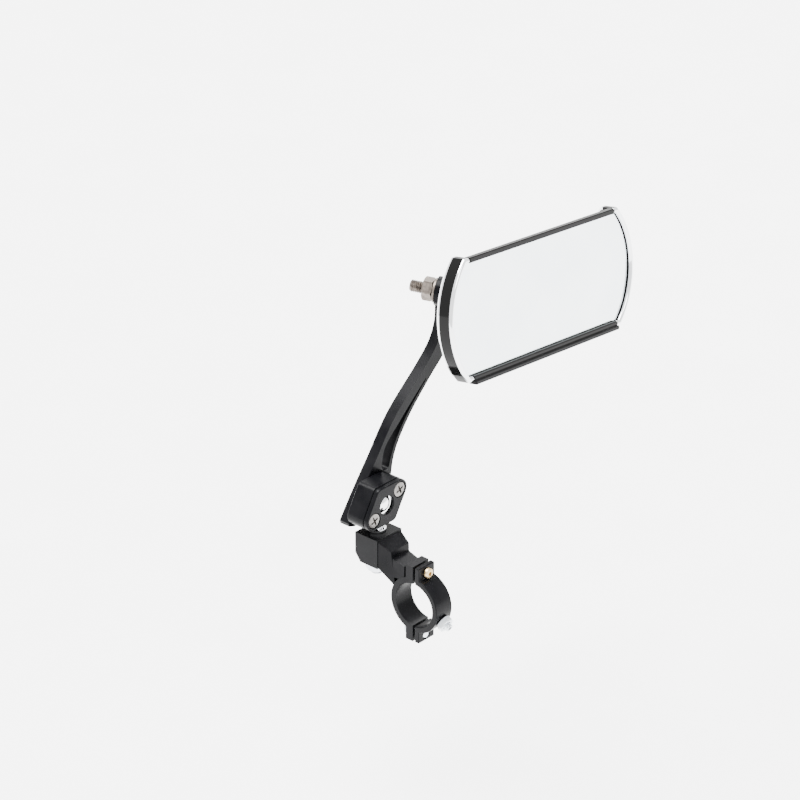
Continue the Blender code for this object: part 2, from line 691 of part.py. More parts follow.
def build():
    clear_scene()
    black = make_material("black_anodised", (0.012, 0.012, 0.014), 0.38, 0.6)
    gloss = make_material("black_gloss", (0.01, 0.01, 0.011), 0.25, 0.3)
    brass = make_material("brass", (0.55, 0.4, 0.2), 0.35, 1.0)
    zinc = make_material("zinc", (0.62, 0.65, 0.68), 0.3, 1.0)
    steel = make_material("steel", (0.3, 0.28, 0.26), 0.4, 1.0)
    chrome = make_material("chrome", (0.8, 0.8, 0.82), 0.08, 1.0)
    shell = make_material("shell_metal", (0.6, 0.61, 0.63), 0.35, 1.0)
    glass = make_material("lens_metal", (0.85, 0.86, 0.87), 0.18, 1.0)
    plastic = make_material("seat_plastic", (0.7, 0.7, 0.68), 0.5, 0.0)
    foam = make_material("backing_foam", (0.05, 0.05, 0.05), 0.8, 0.0)

    forward = Vector((-sin(STUD_INBOARD) * cos(STUD_RISE), cos(STUD_INBOARD) * cos(STUD_RISE),
                      sin(STUD_RISE)))
    sideways = forward.cross(Vector((0, 0, 1)))
    long_axis, facing = head_axes()
    clamp = add_pivot("clamp_pivot", (0, 0, 0), (1, 0, 0), (0, 0, 1))
    lower = add_pivot("arm_pivot", BALL_CENTRE, (1, 0, 0), (0, 0, 1))
    stud = add_pivot("stud_pivot", MIRROR_BALL_CENTRE, sideways, forward)
    head = add_pivot("head_pivot", MIRROR_BALL_CENTRE, long_axis, facing)

    base_block(clamp, black)
    clamp_strap(clamp, black)
    clamp_screw_top(clamp, brass)
    clamp_bolt_lower(clamp, zinc)
    set_screw(clamp, zinc)
    set_nut(clamp, zinc)
    stud_nut_lower(clamp, zinc)

    lower_ball_stud(lower, chrome)
    ball_housing(lower, black)
    cover_plate(lower, black)
    plate_screw("plate_screw_upper", screw_centres()["upper"], ARM_BACK - 1.6, lower, zinc)
    plate_screw("plate_screw_lower", screw_centres()["lower"], HOUSING_BACK - 0.5, lower, zinc)
    arm(lower, stud, black)

    mirror_ball_stud(stud, steel)
    upper_washer(stud, steel)
    upper_nut(stud, steel)

    mirror_ball_seat(head, plastic)
    socket_cup(head, gloss)
    socket_cap(head, gloss)
    socket_screws(head, zinc)
    head_shell(head, shell)
    lens_backing(head, foam)
    lens(head, glass)
    head_rail("rail_top", 1, head, gloss)
    head_rail("rail_bottom", -1, head, gloss)
    end_cap("end_cap_inboard", -1, head, chrome)
    end_cap("end_cap_outboard", 1, head, chrome)


build()
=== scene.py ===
import bmesh
import bpy
from math import atan2, cos, pi, radians, sin, sqrt, tan
from mathutils import Matrix, Vector


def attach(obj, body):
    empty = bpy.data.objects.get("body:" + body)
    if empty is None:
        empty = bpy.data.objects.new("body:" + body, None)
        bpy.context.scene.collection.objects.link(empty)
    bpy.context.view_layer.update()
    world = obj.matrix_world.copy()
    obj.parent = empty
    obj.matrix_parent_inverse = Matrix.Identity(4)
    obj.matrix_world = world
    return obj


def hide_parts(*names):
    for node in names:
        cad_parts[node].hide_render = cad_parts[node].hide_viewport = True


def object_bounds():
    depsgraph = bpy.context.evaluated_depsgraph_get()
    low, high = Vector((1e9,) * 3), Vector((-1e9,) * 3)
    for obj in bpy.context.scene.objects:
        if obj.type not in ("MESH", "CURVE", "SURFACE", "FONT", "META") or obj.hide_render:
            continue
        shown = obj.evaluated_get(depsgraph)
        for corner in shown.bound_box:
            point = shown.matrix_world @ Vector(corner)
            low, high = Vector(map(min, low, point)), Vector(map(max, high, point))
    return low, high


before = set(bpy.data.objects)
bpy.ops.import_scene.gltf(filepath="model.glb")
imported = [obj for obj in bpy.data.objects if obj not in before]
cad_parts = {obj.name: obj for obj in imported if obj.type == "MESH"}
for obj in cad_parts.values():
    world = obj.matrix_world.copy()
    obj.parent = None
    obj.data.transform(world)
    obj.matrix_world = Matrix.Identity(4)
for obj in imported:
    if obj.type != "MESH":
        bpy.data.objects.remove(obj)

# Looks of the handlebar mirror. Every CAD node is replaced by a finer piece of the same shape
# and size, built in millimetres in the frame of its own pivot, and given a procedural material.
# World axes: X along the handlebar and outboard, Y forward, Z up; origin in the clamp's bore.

CAD_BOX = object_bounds()

MM = 0.001
GAP = 0.3                        # air between neighbouring pieces
STEPS = 20                       # sides of a small round piece

# Clamp on the handlebar
BAR_RADIUS = 11.1
BORE_RADIUS = BAR_RADIUS + 0.15
RING_RADIUS = 14.2
RING_HALF_WIDTH = 5.5
SPLIT = 0.6                      # half of the slit between the two halves of the ring
EAR_TOP = 20.2
EAR_LOW = -19.8
FRONT_EAR = 4.4                  # depth of the ears in front of the slit
STRAP_EAR = 2.6                  # and behind it
SCREW_HEIGHT = 16.6
BOLT_HEIGHT = -17.0
SET_SCREW_TURN = radians(204)    # around the bar, from forward through up

# Post of the base and lower ball joint
BALL_CENTRE = (0.0, 28.0, 43.0)
LOWER_BALL = 6.0
POST_HALF_WIDTH = 8.5
POST_FRONT = 34.2
POST_BACK = 20.2
POST_TOP = 27.8
POST_BOTTOM = 12.8
SHANK = 3.0                      # radius of both M6 studs
SHANK_HOLE = SHANK + GAP

# Ball housing, cover plate and arm, as depths from the ball's centre along Y
PLATE_FRONT = -6.5
PLATE_BACK = -4.1
HOUSING_BACK = 6.2
ARM_FRONT = 6.6
ARM_BACK = 12.2
PLATE_SCREW_REACH = 10.0
PLATE_TURN = radians(29.3)       # the line through the plate's screws above the horizontal
SLOT_START = radians(-121)       # the neck's slot in the housing
SLOT_END = radians(-14)

# Mirror stud: it leaves the mirror's ball forward, inboard and slightly up
MIRROR_BALL_CENTRE = (64.1, 23.9, 126.4)
STUD_INBOARD = radians(26.9)
STUD_RISE = radians(5.2)
MIRROR_BALL = 7.0
LUG_START = 11.5
LUG_THICKNESS = 7.0
LUG_RADIUS = 7.0

# Mirror head, with the lens surface at height 0 of its own frame
HEAD_YAW = radians(4.1)
HEAD_PITCH = radians(8.9)
HEAD_ROLL = radians(-7.1)
SOCKET_OFFSET = (19.2, 1.3, 25.0)  # from the ball's centre to the middle of the lens
HEAD_HALF_STRAIGHT = 60.0
HEAD_HALF_HEIGHT = 29.0
HEAD_END_BULGE = 12.0
HEAD_BACK = -8.0
HEAD_LIP = 2.0
LIP_WIDTH = 2.6
WALL = 1.4                       # of the caps and rails
LENS_INSET = WALL + GAP
LENS_THICKNESS = 1.3
TRAY_INSET = 4.8
TRAY_WALL = 1.2
RAIL_HALF_LENGTH = 57.0
CAP_PAINTED_REFLECTION_BAND = (HEAD_BACK + 2.8, 0.7)  # heights between which the caps' side wall is painted black, a painted dark reflection
SEAT_INNER = MIRROR_BALL + GAP
SEAT_OUTER = 8.6
CUP_BORE = SEAT_OUTER + GAP
CUP_RADIUS = 13.0
CAP_THICKNESS = 4.6
CAP_OPENING = radians(60)
SOCKET_SCREW_REACH = 10.9

PLANES = {
    "XY": lambda u, v, w: (u, v, w),
    "XZ": lambda u, v, w: (u, w, v),
    "YZ": lambda u, v, w: (w, u, v),
}


def arc(centre, radius, start, end, steps):
    """Points on a circle, from one angle to the other, both included."""
    points = []
    for step in range(steps + 1):
        angle = start + (end - start) * step / steps
        points.append((centre[0] + radius * cos(angle), centre[1] + radius * sin(angle)))
    return points


def add_prism(bm, outline, low, high, plane="XY"):
    """A closed outline of one plane, extruded from low to high across that plane."""
    spot = PLANES[plane]
    bottom = [bm.verts.new(spot(u, v, low)) for u, v in outline]
    top = [bm.verts.new(spot(u, v, high)) for u, v in outline]
    bm.faces.new(bottom)
    bm.faces.new(top)
    for index in range(len(outline)):
        bm.faces.new((bottom[index], bottom[index - 1], top[index - 1], top[index]))


def add_lathe(bm, profile, steps=STEPS, closed=False, centre=(0.0, 0.0), plane="XY"):
    """A profile of (radius, height) points turned around an axis across the given plane."""
    spot = PLANES[plane]
    rings = []
    for radius, height in profile:
        if radius == 0:
            rings.append([bm.verts.new(spot(centre[0], centre[1], height))] * steps)
            continue
        ring = []
        for u, v in arc(centre, radius, 0, 2 * pi * (steps - 1) / steps, steps - 1):
            ring.append(bm.verts.new(spot(u, v, height)))
        rings.append(ring)
    nexts = rings[1:] + rings[:1] if closed else rings[1:]
    for lower, upper in zip(rings, nexts):
        for index in range(steps):
            corners = (lower[index - 1], lower[index], upper[index], upper[index - 1])
            corners = list(dict.fromkeys(corners))
            if len(corners) > 2:
                bm.faces.new(corners)


def add_cylinder(bm, radius, low, high, steps=STEPS, centre=(0.0, 0.0), plane="XY"):
    profile = [(0, low), (radius, low), (radius, high), (0, high)]
    add_lathe(bm, profile, steps, centre=centre, plane=plane)


def add_hull(bm, points):
    """The convex solid around the points."""
    corners = [bm.verts.new(point) for point in points]
    bmesh.ops.convex_hull(bm, input=corners)


FINE = 48                        # sides of a small round piece
OUT_OF_RING = Matrix.Rotation(SET_SCREW_TURN - pi / 2, 4, 'X')

# Camera and floor, in degrees and metres
CAMERA_AZIMUTH = -48
CAMERA_RISE = 27
CAMERA_DISTANCE = 1.5
FIELD = 0.38                    # width of the view at the object
AIM_SHIFT = 0.045                # to the left, where the arm swings to
FLOOR_DROP = 0.09
FLOOR_HALF = 3.0
SKY_STRENGTH = 2.6
CEILING_STRENGTH = 15
AREA_LIGHTS = (("key", (-0.5, -0.9, 1.0), 0.5, 9), ("rim", (0.9, 0.6, 0.9), 0.4, 6))


# ---------------------------------------------------------------- pieces

def frame_matrix(centre, x_axis, z_axis):
    """A pivot's place: its centre in millimetres and two of its axes."""
    x_axis = Vector(x_axis).normalized()
    z_axis = Vector(z_axis).normalized()
    y_axis = z_axis.cross(x_axis)
    turn = Matrix((x_axis, y_axis, z_axis)).transposed().to_4x4()
    return Matrix.Translation(Vector(centre) * MM) @ turn


def new_object(name, bm, place):
    bmesh.ops.recalc_face_normals(bm, faces=bm.faces)
    bmesh.ops.scale(bm, vec=(MM, MM, MM), verts=bm.verts)
    mesh = bpy.data.meshes.new(name)
    bm.to_mesh(mesh)
    bm.free()
    piece = bpy.data.objects.new(name, mesh)
    piece.matrix_world = place
    bpy.context.scene.collection.objects.link(piece)
    return piece


def combine(piece, bm, operation):
    """Join a mesh to a piece, or cut it out; the tool object goes once the piece is settled."""
    tool = new_object(f"{piece.name}_tool_{len(piece.modifiers)}", bm, piece.matrix_world)
    tool.hide_render = True
    modifier = piece.modifiers.new(tool.name, 'BOOLEAN')
    modifier.operation = operation
    modifier.solver = 'EXACT'
    modifier.object = tool


def round_edges(piece, width, segments=3, angle=30):
    modifier = piece.modifiers.new("Edges", 'BEVEL')
    modifier.width = width * MM
    modifier.segments = segments
    modifier.limit_method = 'ANGLE'
    modifier.angle_limit = radians(angle)
    modifier.use_clamp_overlap = True
    modifier.harden_normals = False


def settle(piece, body, material, *nodes, slot=None):
    """Apply the modifiers, shade, paint, and let the piece stand for its CAD nodes."""
    bpy.context.view_layer.update()
    shape = piece.evaluated_get(bpy.context.evaluated_depsgraph_get())
    mesh = bpy.data.meshes.new_from_object(shape)
    tools = [modifier.object for modifier in piece.modifiers if modifier.type == 'BOOLEAN']
    piece.modifiers.clear()
    piece.data = mesh
    for tool in tools:
        bpy.data.objects.remove(tool)
    mesh.shade_smooth()
    mesh.set_sharp_from_angle(angle=radians(36))
    weighted = piece.modifiers.new("Normals", 'WEIGHTED_NORMAL')
    weighted.keep_sharp = True
    mesh.materials.clear()
    mesh.materials.append(material)
    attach(piece, body)
    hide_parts(*nodes)


def smooth_line(points, steps):
    """A Catmull-Rom curve through the points."""
    line = []
    padded = [points[0]] + points + [points[-1]]
    for before, start, end, after in zip(padded, padded[1:], padded[2:], padded[3:]):
        for step in range(steps):
            t = step / steps
            spot = []
            for a, b, c, d in zip(before, start, end, after):
                bend = (2 * a - 5 * b + 4 * c - d) * t * t + (3 * b - a - 3 * c + d) * t ** 3
                spot.append(0.5 * (2 * b + (c - a) * t + bend))
            line.append(tuple(spot))
    line.append(points[-1])
    return line


def cut_thread(bm, low, high, radius, pitch=1.0, depth=0.42):
    """Push a finely ringed shank into a helical groove between two heights."""
    for vert in bm.verts:
        distance = sqrt(vert.co.x ** 2 + vert.co.y ** 2)
        if not low < vert.co.z < high or abs(distance - radius) > 0.01:
            continue
        phase = (vert.co.z / pitch - atan2(vert.co.y, vert.co.x) / (2 * pi)) % 1
        groove = 1 - abs(2 * phase - 1)
        fade = min(1, (vert.co.z - low) / pitch, (high - vert.co.z) / pitch)
        scale = 1 - depth * groove * fade / radius
        vert.co.x *= scale
        vert.co.y *= scale


def shank_profile(radius, start, end, pitch=1.0, rings=8):
    count = int(abs(end - start) / pitch * rings)
    return [(radius, start + (end - start) * step / count) for step in range(count + 1)]


# ---------------------------------------------------------------- materials

class Paint:
    """A node tree under construction, with one method for each kind of node that is used."""

    def __init__(self, name):
        self.material = bpy.data.materials.new(name)
        self.material.use_nodes = True
        self.tree = self.material.node_tree
        self.shader = self.tree.nodes["Principled BSDF"]
        self.place = self.tree.nodes.new("ShaderNodeTexCoord").outputs["Object"]

    def link(self, output, target):
        self.tree.links.new(output, target)

    def stretched(self, scale):
        mapping = self.tree.nodes.new("ShaderNodeMapping")
        mapping.inputs["Scale"].default_value = scale
        self.link(self.place, mapping.inputs["Vector"])
        return mapping.outputs["Vector"]

    def noise(self, size_mm, detail=3.0, stretch=(1, 1, 1)):
        """Noise whose main bumps are about size_mm across."""
        node = self.tree.nodes.new("ShaderNodeTexNoise")
        node.inputs["Scale"].default_value = 1 / (size_mm * MM)
        node.inputs["Detail"].default_value = detail
        self.link(self.stretched(stretch), node.inputs["Vector"])
        return node.outputs["Fac"]

    def spread(self, value, low, high, start=0.3, end=0.7):
        """Map a value from start..end to low..high."""
        node = self.tree.nodes.new("ShaderNodeMapRange")
        node.inputs["From Min"].default_value = start
        node.inputs["From Max"].default_value = end
        node.inputs["To Min"].default_value = low
        node.inputs["To Max"].default_value = high
        self.link(value, node.inputs["Value"])
        return node.outputs["Result"]

    def blend(self, value, first, second):
        node = self.tree.nodes.new("ShaderNodeMix")
        node.data_type = 'RGBA'
        self.link(value, node.inputs["Factor"])
        for socket, colour in (("A", first), ("B", second)):
            if isinstance(colour, tuple):
                node.inputs[socket].default_value = (*colour, 1)
            else:
                self.link(colour, node.inputs[socket])
        return node.outputs["Result"]

    def band(self, low_mm, high_mm, edge_mm=0.1):
        """1 between two heights of the piece's own frame, and 0 outside them."""
        split = self.tree.nodes.new("ShaderNodeSeparateXYZ")
        self.link(self.place, split.inputs["Vector"])
        height = split.outputs["Z"]
        above = self.spread(height, 0, 1, (low_mm - edge_mm) * MM, (low_mm + edge_mm) * MM)
        below = self.spread(height, 1, 0, (high_mm - edge_mm) * MM, (high_mm + edge_mm) * MM)
        node = self.tree.nodes.new("ShaderNodeMath")
        node.operation = 'MINIMUM'
        self.link(above, node.inputs[0])
        self.link(below, node.inputs[1])
        return node.outputs["Value"]

    def bump(self, height, depth_mm, strength):
        node = self.tree.nodes.new("ShaderNodeBump")
        node.inputs["Distance"].default_value = depth_mm * MM
        node.inputs["Strength"].default_value = strength
        self.link(height, node.inputs["Height"])
        return node.outputs["Normal"]

    def set(self, name, value):
        socket = self.shader.inputs[name]
        if isinstance(value, bpy.types.NodeSocket):
            self.link(value, socket)
        elif isinstance(value, tuple):
            socket.default_value = (*value, 1)
        else:
            socket.default_value = value


def black_anodised():
    """Satin black over a fine blasted grain, with lighter rubbed patches."""
    paint = Paint("black_anodised_fine")
    patches = paint.noise(9, 4)
    grain = paint.noise(0.25, 2)
    paint.set("Base Color", paint.blend(paint.spread(patches, 0, 1), (0.001, 0.001, 0.0015),
                                        (0.0035, 0.0035, 0.004)))
    paint.set("Roughness", paint.spread(patches, 0.24, 0.36))
    paint.set("Specular IOR Level", 0.06)
    paint.set("Normal", paint.bump(grain, 0.012, 0.6))
    return paint.material


def black_gloss():
    """Gloss black moulding with a slight orange peel."""
    paint = Paint("black_gloss_fine")
    peel = paint.noise(1.6, 1)
    dust = paint.noise(5, 5)
    paint.set("Base Color", paint.blend(paint.spread(dust, 0, 1), (0.001, 0.001, 0.001),
                                        (0.003, 0.003, 0.003)))
    paint.set("Roughness", paint.spread(dust, 0.12, 0.24))
    paint.set("Specular IOR Level", 0.08)
    paint.set("Normal", paint.bump(peel, 0.02, 0.4))
    return paint.material


def bright_metal(name, dark, light, smooth, rough, size_mm, stretch=(1, 1, 1), depth_mm=0.006):
    """Bare or plated metal: cloudy tint, uneven polish and fine marks along one direction."""
    paint = Paint(name)
    clouds = paint.noise(size_mm, 4)
    marks = paint.noise(0.35, 3, stretch)
    paint.set("Base Color", paint.blend(paint.spread(clouds, 0, 1), dark, light))
    paint.set("Metallic", 1.0)
    paint.set("Roughness", paint.spread(clouds, smooth, rough))
    paint.set("Normal", paint.bump(marks, depth_mm, 0.5))
    return paint.material


def cap_metal():
    """Plated edges and lip around a side wall painted near-black, a painted reflection of dark surroundings
    in the plated wall.
    """
    paint = Paint("cap_metal_fine")
    clouds = paint.noise(14, 4)
    # painted reflection: across this band the plated wall is painted non-metallic near-black, standing in for
    # dark surroundings mirrored in it
    painted_dark_reflection_mask = paint.band(*CAP_PAINTED_REFLECTION_BAND)
    plated = paint.blend(paint.spread(clouds, 0, 1), (0.74, 0.75, 0.77), (0.84, 0.85, 0.86))
    paint.set("Base Color", paint.blend(painted_dark_reflection_mask, plated, (0.002, 0.002, 0.002)))
    paint.set("Metallic", paint.spread(painted_dark_reflection_mask, 1, 0, 0, 1))
    paint.set("Roughness", paint.spread(clouds, 0.05, 0.11))
    paint.set("Specular IOR Level", 0.1)
    paint.set("Normal", paint.bump(paint.noise(0.35, 3), 0.004, 0.4))
    return paint.material


def lens_metal():
    """Polished sheet with faint streaks from top to bottom, as left by wiping."""
    paint = Paint("lens_metal_fine")
    streaks = paint.noise(0.6, 3, (1, 0.05, 1))
    clouds = paint.noise(30, 3)
    paint.set("Base Color", paint.blend(paint.spread(clouds, 0, 1), (0.74, 0.79, 0.82),
                                        (0.82, 0.86, 0.88)))
    paint.set("Metallic", 1.0)
    paint.set("Roughness", paint.spread(streaks, 0.1, 0.2))
    paint.set("Normal", paint.bump(streaks, 0.004, 0.35))
    return paint.material


def soft_plastic(name, dark, light, roughness):
    paint = Paint(name)
    grain = paint.noise(0.5, 3)
    paint.set("Base Color", paint.blend(paint.spread(grain, 0, 1), dark, light))
    paint.set("Roughness", roughness)
    paint.set("Normal", paint.bump(grain, 0.03, 0.5))
    return paint.material


# ---------------------------------------------------------------- clamp and base

def ring_half(side, ear_depth):
    """Outline of one half of the clamp ring with its two ears; side is +1 front, -1 back."""
    ear = SPLIT + ear_depth
    top = atan2(sqrt(RING_RADIUS ** 2 - ear ** 2), ear)
    inner = atan2(sqrt(BORE_RADIUS ** 2 - SPLIT ** 2), SPLIT)
    outline = [(SPLIT, EAR_TOP), (ear, EAR_TOP)]
    outline += arc((0, 0), RING_RADIUS, top, -top, 40)
    outline += [(ear, EAR_LOW), (SPLIT, EAR_LOW)]
    outline += arc((0, 0), BORE_RADIUS, -inner, inner, 40)
    return [(side * y, z) for y, z in outline]


def base_block(place, material):
    bm = bmesh.new()
    add_prism(bm, ring_half(1, FRONT_EAR), -RING_HALF_WIDTH, RING_HALF_WIDTH, "YZ")
    piece = new_object("base_block_fine", bm, place)

    web = bmesh.new()
    wide, narrow = POST_HALF_WIDTH - 0.3, RING_HALF_WIDTH - 0.3
    corners = []
    for side in (-1, 1):
        corners += [(side * wide, POST_BACK + 0.8, POST_BOTTOM + 1.2)]
        corners += [(side * wide, POST_BACK + 0.8, POST_TOP - 0.5)]
        corners += [(side * 6.3, 13.5, 23.5), (side * narrow, 12.0, 5.5)]
    add_hull(web, corners)
    combine(piece, web, 'UNION')

    step = bmesh.new()
    corners = []
    for side in (-1, 1):
        corners += [(side * 6.0, 16.0, 20.5), (side * 6.0, 16.0, 10.0)]
        corners += [(side * 5.2, 6.2, 18.2), (side * 5.2, 6.2, 11.0)]
    add_hull(step, corners)
    combine(piece, step, 'UNION')

    post = bmesh.new()
    outline = [(POST_BACK, POST_TOP), (POST_FRONT, POST_TOP), (POST_FRONT, POST_BOTTOM + 4.2)]
    outline += [(POST_FRONT - 3.2, POST_BOTTOM), (POST_BACK, POST_BOTTOM)]
    add_prism(post, outline, -POST_HALF_WIDTH, POST_HALF_WIDTH, "YZ")
    combine(piece, post, 'UNION')
    round_edges(piece, 0.5)

    stud_hole = bmesh.new()
    add_cylinder(stud_hole, SHANK_HOLE, 5, 32, FINE, centre=BALL_CENTRE[:2])
    combine(piece, stud_hole, 'DIFFERENCE')
    holes = bmesh.new()
    add_cylinder(holes, 1.8, -3, 9.5, FINE, centre=(0, SCREW_HEIGHT), plane="XZ")
    add_cylinder(holes, 2.3, -3, 9.5, FINE, centre=(0, BOLT_HEIGHT), plane="XZ")
    combine(piece, holes, 'DIFFERENCE')
    settle(piece, "base", material, "base_block", slot="black_anodised")


def clamp_strap(place, material):
    bm = bmesh.new()
    add_prism(bm, ring_half(-1, STRAP_EAR), -RING_HALF_WIDTH, RING_HALF_WIDTH, "YZ")
    piece = new_object("clamp_strap_fine", bm, place)
    round_edges(piece, 0.45)
    grooves = bmesh.new()
    for depth in (1.3, 2.0, 2.7):
        outline = [(-depth - 0.3, EAR_TOP + 0.3), (-depth + 0.3, EAR_TOP + 0.3), (-depth, EAR_TOP - 0.3)]
        add_prism(grooves, outline, -8, 8, "YZ")
    combine(piece, grooves, 'DIFFERENCE')
    holes = bmesh.new()
    add_cylinder(holes, 1.8, -7, 3, FINE, centre=(0, SCREW_HEIGHT), plane="XZ")
    add_cylinder(holes, 2.3, -7, 3, FINE, centre=(0, BOLT_HEIGHT), plane="XZ")
    combine(piece, holes, 'DIFFERENCE')
    radial = bmesh.new()
    add_cylinder(radial, 2.3, 9, 17, FINE)
    bmesh.ops.transform(radial, matrix=OUT_OF_RING, verts=radial.verts)
    combine(piece, radial, 'DIFFERENCE')
    settle(piece, "strap", material, "clamp_strap", slot="black_anodised")


def clamp_screw_top(place, material):
    """A round head with a six-sided socket."""
    back = -(SPLIT + STRAP_EAR) - GAP
    profile = [(0, 8.8), (1.2, 8.8), (1.5, 8.5), (1.5, back), (2.35, back), (2.5, back - 0.15)]
    profile += [(2.5, back - 1.0), (2.42, back - 1.35), (2.2, back - 1.6), (1.8, back - 1.8), (0, back - 1.8)]
    bm = bmesh.new()
    add_lathe(bm, profile, FINE, centre=(0, SCREW_HEIGHT), plane="XZ")
    piece = new_object("clamp_screw_top_fine", bm, place)
    socket = bmesh.new()
    add_prism(socket, arc((0, SCREW_HEIGHT), 1.2, 0, 5 * pi / 3, 5), back - 4, back - 0.7, "XZ")
    combine(piece, socket, 'DIFFERENCE')
    settle(piece, "strap", material, "clamp_screw_top", slot="brass")


def clamp_bolt_lower(place, material):
    front = SPLIT + FRONT_EAR + GAP
    tip = SPLIT + STRAP_EAR - 0.2
    profile = [(0, tip), (1.5, tip), (2.0, tip - 0.4)]
    profile += shank_profile(2.0, tip - 0.5, -front + 0.2, 0.7)
    profile += [(3.0, -front), (3.2, -front - 0.2), (3.2, -front - 2.6), (2.9, -front - 3), (0, -front - 3)]
    bm = bmesh.new()
    add_lathe(bm, profile, FINE)
    cut_thread(bm, -3.0, tip - 0.2, 2.0, 0.7, 0.3)
    lay = Matrix.Translation((0, 0, BOLT_HEIGHT)) @ Matrix.Rotation(pi / 2, 4, 'X')
    bmesh.ops.transform(bm, matrix=lay, verts=bm.verts)
    piece = new_object("clamp_bolt_lower_fine", bm, place)
    socket = bmesh.new()
    add_prism(socket, arc((0, BOLT_HEIGHT), 1.7, 0, 5 * pi / 3, 5), front + 1.2, front + 5, "XZ")
    combine(piece, socket, 'DIFFERENCE')
    settle(piece, "base", material, "clamp_bolt_lower", slot="zinc")


def set_screw(place, material):
    """Heights are from the bar's axis."""
    low = BORE_RADIUS + 0.3
    profile = [(0, low), (1.6, low), (2.0, low + 0.4)]
    profile += shank_profile(2.0, low + 0.5, 19.0, 0.7)
    profile += [(1.7, 19.4), (0, 19.4)]
    bm = bmesh.new()
    add_lathe(bm, profile, FINE)
    cut_thread(bm, 14.0, 19.2, 2.0, 0.7, 0.3)
    piece = new_object("set_screw_fine", bm, place @ OUT_OF_RING)
    socket = bmesh.new()
    add_prism(socket, arc((0, 0), 1.1, 0, 5 * pi / 3, 5), 17.5, 21)
    combine(piece, socket, 'DIFFERENCE')
    settle(piece, "strap", material, "set_screw", slot="zinc")


def hex_nut(name, place, body, node, material, slot, across_flats, hole, low, high, plane="XY",
            centre=(0, 0)):
    """A hexagon whose corners are turned down by a cone at both faces, with a round hole."""
    corner = across_flats / sqrt(3)
    bm = bmesh.new()
    outline = arc(centre, corner, 0, 5 * pi / 3, 5)
    add_prism(bm, outline, low, high, plane)
    piece = new_object(name, bm, place)
    cone = bmesh.new()
    flat = across_flats / 2
    slope = (corner - flat) * 0.62
    profile = [(0, low - 0.01), (flat - 0.15, low - 0.01), (corner + 0.1, low + slope + 0.15)]
    profile += [(corner + 0.1, high - slope - 0.15), (flat - 0.15, high + 0.01), (0, high + 0.01)]
    add_lathe(cone, profile, 96, centre=centre, plane=plane)
    combine(piece, cone, 'INTERSECT')
    bore = bmesh.new()
    profile = [(0, low - 1), (hole + 0.9, low - 0.6), (hole, low + 0.35), (hole, high - 0.35)]
    profile += [(hole + 0.9, high + 0.6), (0, high + 1)]
    add_lathe(bore, profile, FINE, centre=centre, plane=plane)
    combine(piece, bore, 'DIFFERENCE')
    settle(piece, body, material, node, slot=slot)


# ---------------------------------------------------------------- lower ball joint and arm

def lower_ball_stud(place, material):
    """Heights are from the ball's centre."""
    neck = 2.7
    top = POST_TOP + GAP - BALL_CENTRE[2]
    profile = [(0, LOWER_BALL)]
    profile += arc((0, 0), LOWER_BALL, radians(86), radians(-63.3), 36)
    profile += [(neck, -8.0), (neck, top + 1.3), (4.2, top + 1.2), (4.4, top + 1.0), (4.4, top)]
    profile += shank_profile(SHANK, top, -37.4)
    profile += [(SHANK - 0.6, -38.0), (0, -38.0)]
    bm = bmesh.new()
    add_lathe(bm, profile, FINE)
    cut_thread(bm, -37.9, -22.0, SHANK)
    piece = new_object("lower_ball_stud_fine", bm, place)
    settle(piece, "lower_stud", material, "lower_ball_stud", slot="chrome")


def plate_outline(steps=14):
    """A slanted block whose long corners are ears about the screws."""
    upper, lower = screw_centres().values()
    slant = atan2(-0.511, 0.859)
    outline = arc(upper, 5.1, slant, pi / 2, steps)
    outline += arc((-4.1, 7.0), 3.0, pi / 2, slant + pi, steps)
    outline += arc(lower, 5.1, slant + pi, 3 * pi / 2, steps)
    outline += arc((4.1, -7.0), 3.0, 3 * pi / 2, slant + 2 * pi, steps)
    return outline


def screw_centres():
    along = Vector((cos(PLATE_TURN), sin(PLATE_TURN)))
    return {"upper": along * PLATE_SCREW_REACH, "lower": -along * PLATE_SCREW_REACH}


def ball_housing(place, material):
    bm = bmesh.new()
    add_prism(bm, plate_outline(), PLATE_BACK + GAP, HOUSING_BACK, "XZ")
    piece = new_object("ball_housing_fine", bm, place)
    round_edges(piece, 0.4)
    ball = bmesh.new()
    add_cylinder(ball, LOWER_BALL + GAP, -9, 9, FINE, plane="XZ")
    combine(piece, ball, 'DIFFERENCE')
    slot = bmesh.new()
    half = 3.1
    first = Vector((cos(SLOT_START), sin(SLOT_START)))
    last = Vector((cos(SLOT_END), sin(SLOT_END)))
    before = Vector((first.y, -first.x)) * half
    beyond = Vector((-last.y, last.x)) * half
    outline = [(0, 0), tuple(before + first * 3), tuple(before + first * 20)]
    outline += arc((0, 0), 20.3, SLOT_START, SLOT_END, 6)
    outline += [tuple(beyond + last * 20), tuple(beyond + last * 3)]
    add_prism(slot, outline, -9, half, "XZ")
    combine(piece, slot, 'DIFFERENCE')
    holes = bmesh.new()
    for centre in screw_centres().values():
        add_cylinder(holes, 2.3, -9, 9, FINE, centre=centre, plane="XZ")
    combine(piece, holes, 'DIFFERENCE')
    settle(piece, "arm", material, "ball_housing", slot="black_anodised")


def cover_plate(place, material):
    bm = bmesh.new()
    add_prism(bm, plate_outline(), PLATE_FRONT, PLATE_BACK, "XZ")
    piece = new_object("cover_plate_fine", bm, place)
    round_edges(piece, 0.5)
    window = bmesh.new()
    profile = [(0, PLATE_FRONT - 1), (5.6, PLATE_FRONT - 1), (4.5, PLATE_FRONT + 0.5), (4.5, -5.4)]
    profile += [(5.3, -3), (0, -3)]
    add_lathe(window, profile, FINE, plane="XZ")
    combine(piece, window, 'DIFFERENCE')
    for centre in screw_centres().values():
        sink = bmesh.new()
        profile = [(0, -8), (4.1, -8), (4.1, -6.2), (2.3, -4.7), (2.3, -2), (0, -2)]
        add_lathe(sink, profile, FINE, centre=centre, plane="XZ")
        combine(piece, sink, 'DIFFERENCE')
    settle(piece, "arm", material, "cover_plate", slot="black_anodised")


